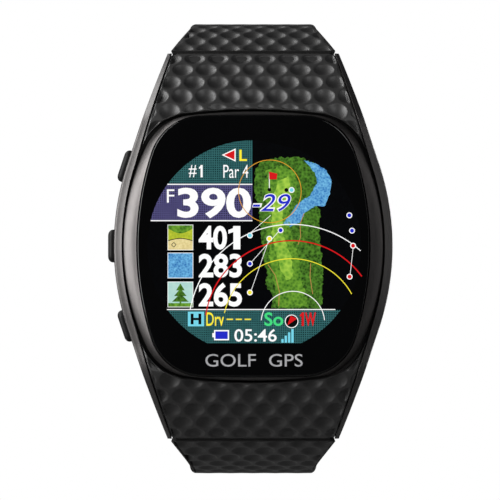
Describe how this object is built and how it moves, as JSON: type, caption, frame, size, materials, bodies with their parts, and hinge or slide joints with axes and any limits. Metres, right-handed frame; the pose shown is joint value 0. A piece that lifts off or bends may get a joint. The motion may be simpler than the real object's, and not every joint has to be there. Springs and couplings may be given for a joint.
{
  "type": "golf GPS watch",
  "caption": "Cushion-shaped wrist watch with a round colour display, side push-buttons, dimpled end plates and a dimpled rubber strap with a pin buckle, open.",
  "frame": {"origin": "centre of the wrist opening, level with the centre of the dial, 38.5 mm behind the front of the lens", "axes": "-Y out of the dial, +Z towards 12 o'clock, +X towards 3 o'clock"},
  "size_m": [0.0433, 0.0981, 0.0726],
  "materials": {
    "case_metal": "satin gunmetal",
    "bezel_metal": "polished gunmetal",
    "lens_glass": "polished, black-bordered",
    "strap_rubber": "matte, dimpled",
    "seal_rubber": "matte",
    "display": "lit colour display",
    "inner_plastic": "matte",
    "cable_film": "amber film",
    "circuit_board": "solder mask",
    "battery_can": "foil",
    "antenna_ceramic": "unglazed",
    "steel": "turned",
    "buckle_steel": "brushed gunmetal",
    "back_plastic": "fine texture",
    "button_black": "satin black",
    "contact_gold": "plated"
  },
  "bodies": {
    "case": {"mid_case": "case_metal", "bezel": "bezel_metal", "front_lens": "lens_glass", "lens_gasket": "seal_rubber", "display_panel": "display", "display_frame": "inner_plastic", "display_cable": "cable_film", "main_board": "circuit_board", "battery": "battery_can", "gps_antenna": "antenna_ceramic", "vibration_motor": "steel", "case_back": "back_plastic", "case_back_gasket": "seal_rubber", "case_back_screw_1": "steel", "case_back_screw_2": "steel", "case_back_screw_3": "steel", "case_back_screw_4": "steel", "contact_block": "inner_plastic", "charging_contact_1": "contact_gold", "charging_contact_2": "contact_gold", "charging_contact_3": "contact_gold", "charging_contact_4": "contact_gold", "upper_end_plate": "strap_rubber", "lower_end_plate": "strap_rubber", "upper_end_plate_screw_1": "steel", "upper_end_plate_screw_2": "steel", "lower_end_plate_screw_1": "steel", "lower_end_plate_screw_2": "steel", "upper_spring_bar": "steel", "lower_spring_bar": "steel", "upper_button_gasket": "seal_rubber", "middle_button_gasket": "seal_rubber", "lower_button_gasket": "seal_rubber", "upper_switch": "inner_plastic", "middle_switch": "inner_plastic", "lower_switch": "inner_plastic"},
    "upper_button": {"upper_button": "button_black"},
    "middle_button": {"middle_button": "button_black"},
    "lower_button": {"lower_button": "button_black"},
    "upper_strap": {"upper_strap": "strap_rubber"},
    "upper_strap_end": {"upper_strap_end": "strap_rubber", "fixed_keeper": "strap_rubber"},
    "free_keeper": {"free_keeper": "strap_rubber"},
    "buckle": {"buckle_frame": "buckle_steel", "buckle_bar": "steel"},
    "tongue": {"buckle_tongue": "steel"},
    "lower_strap": {"lower_strap": "strap_rubber"},
    "lower_strap_tail": {"lower_strap_tail": "strap_rubber"}
  },
  "joints": [
    {"name": "upper_button_press", "type": "slide", "parent": "case", "child": "upper_button", "axis": [0.9494, 0, -0.314], "range_m": [0, 0.0007], "stiffness_N_per_m": 400},
    {"name": "middle_button_press", "type": "slide", "parent": "case", "child": "middle_button", "axis": [1, 0, 0], "range_m": [0, 0.0007], "stiffness_N_per_m": 400},
    {"name": "lower_button_press", "type": "slide", "parent": "case", "child": "lower_button", "axis": [0.9494, 0, 0.314], "range_m": [0, 0.0007], "stiffness_N_per_m": 400},
    {"name": "upper_strap_pivot", "type": "hinge", "parent": "case", "child": "upper_strap", "pos_m": [0, -0.02446, 0.02712], "axis": [1, 0, 0], "range_deg": [0, 16]},
    {"name": "upper_strap_flex", "type": "hinge", "parent": "upper_strap", "child": "upper_strap_end", "pos_m": [0, -0.00411, 0.03576], "axis": [1, 0, 0], "range_deg": [0, 30], "stiffness_Nm_per_rad": 0.05},
    {"name": "free_keeper_slide", "type": "slide", "parent": "upper_strap_end", "child": "free_keeper", "axis": [0, 0, 1], "range_m": [0, 0.0048]},
    {"name": "buckle_pivot", "type": "hinge", "parent": "upper_strap_end", "child": "buckle", "pos_m": [0, 0.01839, -0.00424], "axis": [1, 0, 0], "range_deg": [-15, 30]},
    {"name": "tongue_pivot", "type": "hinge", "parent": "buckle", "child": "tongue", "pos_m": [0, 0.01839, -0.00424], "axis": [1, 0, 0], "range_deg": [0, 50]},
    {"name": "lower_strap_pivot", "type": "hinge", "parent": "case", "child": "lower_strap", "pos_m": [0, -0.02446, -0.02712], "axis": [-1, 0, 0], "range_deg": [0, 16]},
    {"name": "lower_strap_flex", "type": "hinge", "parent": "lower_strap", "child": "lower_strap_tail", "pos_m": [0, -0.00025, -0.03683], "axis": [-1, 0, 0], "range_deg": [0, 30], "stiffness_Nm_per_rad": 0.12}
  ]
}
